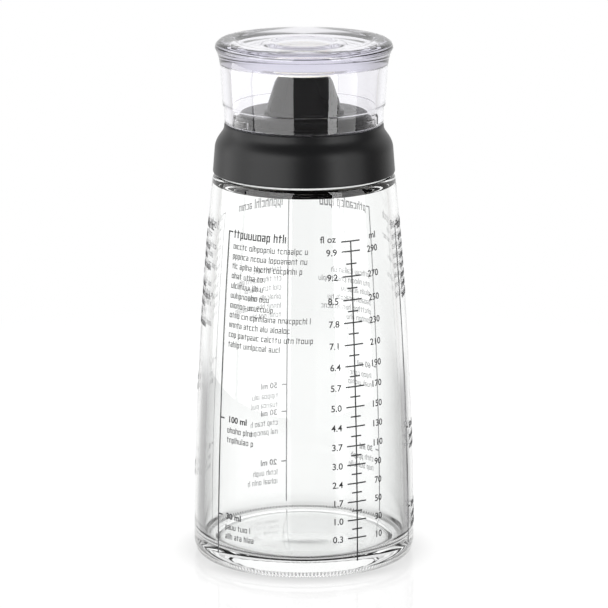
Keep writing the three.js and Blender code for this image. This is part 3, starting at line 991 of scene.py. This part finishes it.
def stroke_boxes(strokes, line, thickness):
    """A thin closed bar for each stroke, as flat points and quads."""
    low = strokes[:, :2] - line / 2
    high = strokes[:, 2:] + line / 2
    left, bottom = np.minimum(low, high).T
    right, top = np.maximum(low, high).T
    corners = []
    for depth in (0, thickness):
        for x, y in ((left, bottom), (right, bottom), (right, top), (left, top)):
            corners.append(np.column_stack([x, y, np.full(len(x), depth)]))
    points = np.stack(corners, axis=1).reshape(-1, 3)
    sides = np.array([[3, 2, 1, 0], [4, 5, 6, 7], [0, 1, 5, 4], [1, 2, 6, 5], [2, 3, 7, 6], [3, 0, 4, 7]])
    faces = (sides[None] + 8 * np.arange(len(strokes))[:, None, None]).reshape(-1, 4)
    return points, faces.tolist()


# Print of every panel: its heading, its rows, and the amounts with two short rows under each
HEADING_LETTER = 1.65 * MM
HEADING_LINE = 0.38 * MM
HEADING_WIDTH = 19 * MM
HEADING_HEIGHT = 109.2 * MM
ROW_LETTER = 1.18 * MM
ROW_LINE = 0.21 * MM
ROW_START = 1.7 * MM
AMOUNT_LETTER = 2.0 * MM
AMOUNT_BOLD = 0.075 * MM
AMOUNT_START = 2.7 * MM
AMOUNT_ROWS = (9.5, 10.5)
AMOUNT_ROWS_START = ROW_START + 0.9 * MM
AMOUNT_ROWS_DROP = 4.4

# Each panel in mm: height of its top row, widths of its rows, and its plain amounts by height
PANELS = (
    (105.6, (14, 21, 12, 16, 9, 19, 13), (("50 ml", 44), ("20 ml", 17.5))),
    (86.5, (16, 21, 13, 18, 20, 11), (("60 ml", 56), ("30 ml", 27.2))),
    (86.5, (11, 17, 15, 13, 19, 12), (("50 ml", 47), ("30 ml", 37.6), ("20 ml", 20.2))),
    (105.6, (12, 18, 15, 20, 9, 16, 22, 17, 13, 19), (("80 ml", 62), ("40 ml", 33))),
    (105.6, (25, 25.5, 24, 11.5, 12.5, 14.5, 16, 27.5, 22, 29, 19), (("100 ml", 50.5), ("30 ml", 18.6))),
)


class SHAKER_OT_recipes(bpy.types.Operator):
    """Set a panel of made-up rows and plain amounts beside each bracket"""

    bl_idname = "shaker.recipes"
    bl_label = "Recipe panels"

    def execute(self, context):
        bottle = context.scene.shaker_bottle
        sizes = context.scene.shaker_print
        draw = np.random.default_rng(11)
        lift = sizes.ink_lift + sizes.ink_thickness / 2
        for i, (top_row, widths, amounts) in enumerate(PANELS):
            panel = i + 1
            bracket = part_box(f"printed_bracket_{panel}")
            line = (Vector(bracket[0]) + Vector(bracket[1])) / 2
            azimuth = math.atan2(line.x, -line.y)
            lots = []
            heading = mock_row(HEADING_WIDTH, HEADING_LETTER, draw)
            rows = [(heading, HEADING_HEIGHT, ROW_START, HEADING_LINE)]
            for row, width in enumerate(widths):
                strokes = mock_row(width * MM, ROW_LETTER, draw)
                rows.append((strokes, top_row * MM - row * sizes.row_pitch, ROW_START, ROW_LINE))
            for _, height in amounts:
                for row, width in enumerate(AMOUNT_ROWS):
                    strokes = mock_row(width * MM, ROW_LETTER, draw)
                    low = (height - AMOUNT_ROWS_DROP) * MM - row * sizes.row_pitch
                    rows.append((strokes, low, AMOUNT_ROWS_START, ROW_LINE))
            for strokes, height, left, line_width in rows:
                points, faces = stroke_boxes(strokes, line_width, sizes.ink_thickness)
                turn = azimuth + left / wall_radius(height, bottle)
                lots.append((wrap(points, turn, height, sizes.ink_lift, bottle), faces))
            for text, height in amounts:
                points, faces = lettered(
                    text, AMOUNT_LETTER, "LEFT", sizes.ink_thickness, AMOUNT_BOLD
                )
                turn = azimuth + AMOUNT_START / wall_radius(height * MM, bottle)
                low = height * MM - AMOUNT_LETTER / 2
                lots.append((wrap(points, turn, low, lift, bottle), faces))
            points, faces = join_lots(lots)
            piece = mesh_object(f"recipe_panel_{panel}", points, faces, smooth=False)
            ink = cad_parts["printed_scale"].data.materials[0]
            finish_piece(piece, ink, "bottle", "print")
        return {"FINISHED"}


def floor_material(radius):
    """White gloss floor that runs into the white world.

    Most of its brightness is its own glow, so its shadow and its reflection stay faint; under the
    bottle that glow is darkened as a painted shadow. Through the glass it darkens to the sides, and
    mirrored it is dark on the camera's side, as the world is.
    """
    glow_share = 0.8
    painted_shadow_level = 0.72
    material, add = blank_material("studio_floor")
    surface = add("BsdfPrincipled", Base_Color=(0.09, 0.09, 0.09, 1), IOR=1.4, Roughness=0.08)
    surface.inputs["Specular IOR Level"].default_value = 0.2
    path = add("LightPath").outputs
    onward = add("VectorMath", add("NewGeometry").outputs["Incoming"], -1.0, operation="SCALE")
    near_sides = place_group(add, studio_sides, Direction=onward, Narrow=0.08, Wide=0.5, Dark=0.2)
    far_sides = place_group(add, studio_sides, Direction=onward)
    gloss = add("Mix", path["Is Glossy Ray"], 1.0, near_sides["Mirrored"])
    shade = add("Mix", path["Is Transmission Ray"], gloss, near_sides["Through"])
    far_shade = add("Mix", path["Is Transmission Ray"], gloss, far_sides["Through"])
    far = add("VectorMath", add("TexCoord").outputs["Object"], operation="LENGTH")
    soft = {"interpolation_type": "SMOOTHSTEP"}
    # Painted shadow: under the bottle, 30 to 46 mm from the axis, the floor's own glow is darkened to
    # 0.72 of its level
    under = add("MapRange", far, 30 * MM, 46 * MM, painted_shadow_level, 1.0, **soft)
    shade_with_painted_shadow = add("Math", shade, under, operation="MULTIPLY")
    near_glow = add("Math", shade_with_painted_shadow, glow_share, operation="MULTIPLY")
    lit = add("AddShader", surface, add("Emission", Strength=near_glow))
    plain = add("Emission", Strength=far_shade)
    edge = add("MapRange", far, radius * 0.7, radius, 0.0, 1.0, **soft)
    blend = add("MixShader", edge, lit, plain)
    matte = add("BsdfDiffuse", Color=(0.6, 0.6, 0.6, 1))
    add("OutputMaterial", Surface=add("MixShader", path["Is Diffuse Ray"], blend, matte))
    return material


def studio_world():
    """White behind the object, darker to its sides as glass and gloss see it, soft for lighting."""
    soft_light = 0.45
    world = bpy.data.worlds.new("studio_world")
    bpy.context.scene.world = world
    world.use_nodes = True
    world.node_tree.nodes.clear()
    add = new_nodes(world.node_tree)
    sides = place_group(add, studio_sides, Direction=add("TexCoord").outputs["Generated"])
    path = add("LightPath").outputs
    glass = add("Mix", path["Is Transmission Ray"], sides["Mirrored"], sides["Through"])
    soft = add("Mix", path["Is Diffuse Ray"], glass, soft_light)
    seen = add("Mix", path["Is Camera Ray"], soft, 1.0)
    warmth = add("Mix", seen, (0.95, 0.91, 0.87, 1), (1, 1, 1, 1), data_type="RGBA")
    background = add("Background", warmth, seen)
    add("OutputWorld", Surface=background)


def softbox(name, azimuth, width, tall, radiance, distance=1.0, middle=0.15):
    """A flat lamp facing the object, at an azimuth from the front towards +X."""
    lamp = bpy.data.lights.new(name, "AREA")
    lamp.shape = "RECTANGLE"
    lamp.size = width
    lamp.size_y = tall
    lamp.energy = radiance * math.pi * width * tall
    holder = bpy.data.objects.new(name, lamp)
    turn = math.radians(azimuth)
    holder.location = (distance * math.sin(turn), -distance * math.cos(turn), middle)
    aim = Vector((0, 0, 0.08)) - holder.location
    holder.rotation_euler = aim.to_track_quat("-Z", "Y").to_euler()
    holder.visible_camera = False
    holder.visible_transmission = False
    bpy.context.scene.collection.objects.link(holder)


class SHAKER_OT_studio(bpy.types.Operator):
    """Set up the floor, the world, the lamps and the camera"""

    bl_idname = "shaker.studio"
    bl_label = "Studio"

    def execute(self, context):
        sizes = context.scene.shaker_studio
        edge = sizes.floor_radius
        angle = np.linspace(0, 2 * np.pi, 96, endpoint=False)
        points = np.column_stack([edge * np.sin(angle), -edge * np.cos(angle), 0 * angle])
        floor = mesh_object("studio_floor", points, [list(range(len(points)))], smooth=False)
        floor.data.materials.append(floor_material(edge))
        studio_world()
        softbox("left_softbox", -45, 1.2, 1.5, 4.0)
        softbox("left_side", -99, 0.77, 1.5, 2.4)
        softbox("right_strip", 41, 0.24, 1.5, 6.0)
        softbox("right_softbox", 64, 0.55, 1.5, 2.6)
        camera = bpy.data.objects.new("camera", bpy.data.cameras.new("camera"))
        camera.data.lens = sizes.lens
        camera.data.clip_start = 0.05
        camera.location = (0, -sizes.distance, sizes.height)
        camera.rotation_euler = (math.pi / 2 - sizes.pitch, 0, 0)
        context.scene.collection.objects.link(camera)
        context.scene.camera = camera
        context.scene.view_settings.view_transform = "Standard"
        return {"FINISHED"}


PIECES = (
    SHAKER_OT_bottle,
    SHAKER_OT_insert,
    SHAKER_OT_collar,
    SHAKER_OT_lid,
    SHAKER_OT_scale,
    SHAKER_OT_recipes,
    SHAKER_OT_studio,
)


class SHAKER_PT_panel(bpy.types.Panel):
    """Lists the shaker's pieces in the sidebar"""

    bl_idname = "SHAKER_PT_panel"
    bl_label = "Dressing shaker"
    bl_space_type = "VIEW_3D"
    bl_region_type = "UI"
    bl_category = "Shaker"

    def draw(self, context):
        for piece in PIECES:
            self.layout.operator(piece.bl_idname)


GROUPS = (
    ("shaker_bottle", BottleSizes),
    ("shaker_closure", ClosureSizes),
    ("shaker_lid", LidSizes),
    ("shaker_print", PrintSizes),
    ("shaker_studio", StudioSizes),
)


def register():
    for _, group in GROUPS:
        bpy.utils.register_class(group)
    for piece in PIECES:
        bpy.utils.register_class(piece)
    bpy.utils.register_class(SHAKER_PT_panel)
    for name, group in GROUPS:
        setattr(bpy.types.Scene, name, PointerProperty(type=group))


def unregister():
    for name, _ in GROUPS:
        delattr(bpy.types.Scene, name)
    bpy.utils.unregister_class(SHAKER_PT_panel)
    for piece in reversed(PIECES):
        bpy.utils.unregister_class(piece)
    for _, group in reversed(GROUPS):
        bpy.utils.unregister_class(group)


def main():
    register()
    bpy.ops.shaker.bottle()
    bpy.ops.shaker.insert()
    bpy.ops.shaker.collar()
    bpy.ops.shaker.lid()
    bpy.ops.shaker.scale()
    bpy.ops.shaker.recipes()
    bpy.ops.shaker.studio()


if __name__ == "__main__":
    main()
